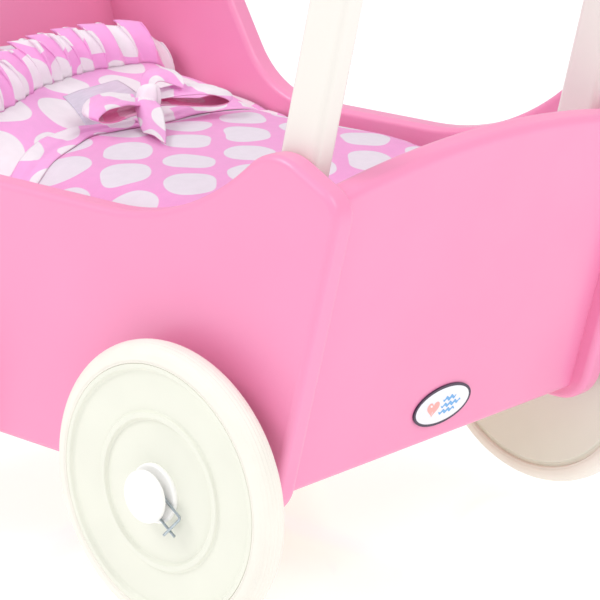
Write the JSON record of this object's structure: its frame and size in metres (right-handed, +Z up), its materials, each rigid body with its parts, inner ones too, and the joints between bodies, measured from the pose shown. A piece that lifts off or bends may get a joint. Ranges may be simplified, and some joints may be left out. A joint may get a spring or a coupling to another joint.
{
  "type": "doll stroller",
  "caption": "Wooden doll stroller: panelled cot with a high head end on spinning rubber-tyred wheels, an upright push handle and a padded baby wrap.",
  "frame": {"origin": "on the floor under the middle of the whole object's box", "axes": "+X towards the push handle, +Y to the right of the person pushing, +Z up"},
  "size_m": [0.5148, 0.357, 0.5612],
  "materials": {
    "pink_paint": "pink lacquer on board, satin gloss",
    "cream_paint": "cream lacquer on wood, satin",
    "plywood": "birch plywood, clear lacquer",
    "beech": "bare beech",
    "tyre_rubber": "off-white rubber with fine ribs",
    "cream_plastic": "moulded cream plastic, fine satin",
    "white_plastic": "moulded white plastic",
    "spring_wire": "bright spring wire",
    "zinc_steel": "zinc-plated steel",
    "brass": "plain brass",
    "badge_rim": "dark plum print edge",
    "badge_face": "domed white lacquer",
    "mattress_cotton": "white cotton ticking",
    "dotted_cotton": "pink cotton with large off-white dots",
    "satin": "lavender-grey satin"
  },
  "bodies": {
    "chassis": {"axle_bushes": "white_plastic", "axle_front": "zinc_steel", "axle_rear": "zinc_steel", "badge_face": "badge_face", "badge_rim": "badge_rim", "batten_screws": "zinc_steel", "floor_batten_left": "beech", "floor_batten_right": "beech", "floor_panel": "plywood", "front_end_panel": "pink_paint", "grip_screw_caps": "cream_plastic", "grip_screws": "zinc_steel", "handle_arm_left": "cream_paint", "handle_arm_right": "cream_paint", "handle_bolts": "zinc_steel", "handle_grip": "cream_paint", "handle_washers": "zinc_steel", "mattress": "mattress_cotton", "panel_dowels": "beech", "rear_end_panel": "pink_paint", "side_panel_left": "pink_paint", "side_panel_right": "pink_paint", "threaded_inserts": "brass", "wheel_spacers": "white_plastic"},
    "bedding": {"bow_loops": "dotted_cotton", "bow_tails": "dotted_cotton", "pillow": "dotted_cotton", "pillow_ruffle": "dotted_cotton", "sash": "dotted_cotton", "satin_patch": "satin", "wrap": "dotted_cotton"},
    "wheel_rear_left": {"hub_cap_rear_left": "white_plastic", "tyre_rear_left": "tyre_rubber", "wheel_disc_rear_left": "cream_plastic", "wire_clip_rear_left": "spring_wire"},
    "wheel_rear_right": {"hub_cap_rear_right": "white_plastic", "tyre_rear_right": "tyre_rubber", "wheel_disc_rear_right": "cream_plastic", "wire_clip_rear_right": "spring_wire"},
    "wheel_front_left": {"hub_cap_front_left": "white_plastic", "tyre_front_left": "tyre_rubber", "wheel_disc_front_left": "cream_plastic", "wire_clip_front_left": "spring_wire"},
    "wheel_front_right": {"hub_cap_front_right": "white_plastic", "tyre_front_right": "tyre_rubber", "wheel_disc_front_right": "cream_plastic", "wire_clip_front_right": "spring_wire"}
  },
  "joints": [
    {"name": "rear_left_wheel_spin", "type": "hinge", "parent": "chassis", "child": "wheel_rear_left", "pos_m": [0.1125, -0.157, 0.08], "axis": [0, 1, 0], "continuous": true},
    {"name": "rear_right_wheel_spin", "type": "hinge", "parent": "chassis", "child": "wheel_rear_right", "pos_m": [0.1125, 0.157, 0.08], "axis": [0, 1, 0], "continuous": true},
    {"name": "front_left_wheel_spin", "type": "hinge", "parent": "chassis", "child": "wheel_front_left", "pos_m": [-0.1435, -0.157, 0.08], "axis": [0, 1, 0], "continuous": true},
    {"name": "front_right_wheel_spin", "type": "hinge", "parent": "chassis", "child": "wheel_front_right", "pos_m": [-0.1435, 0.157, 0.08], "axis": [0, 1, 0], "continuous": true},
    {"name": "bedding_lift", "type": "slide", "parent": "chassis", "child": "bedding", "axis": [0, 0, 1], "range_m": [0, 0.2]}
  ]
}
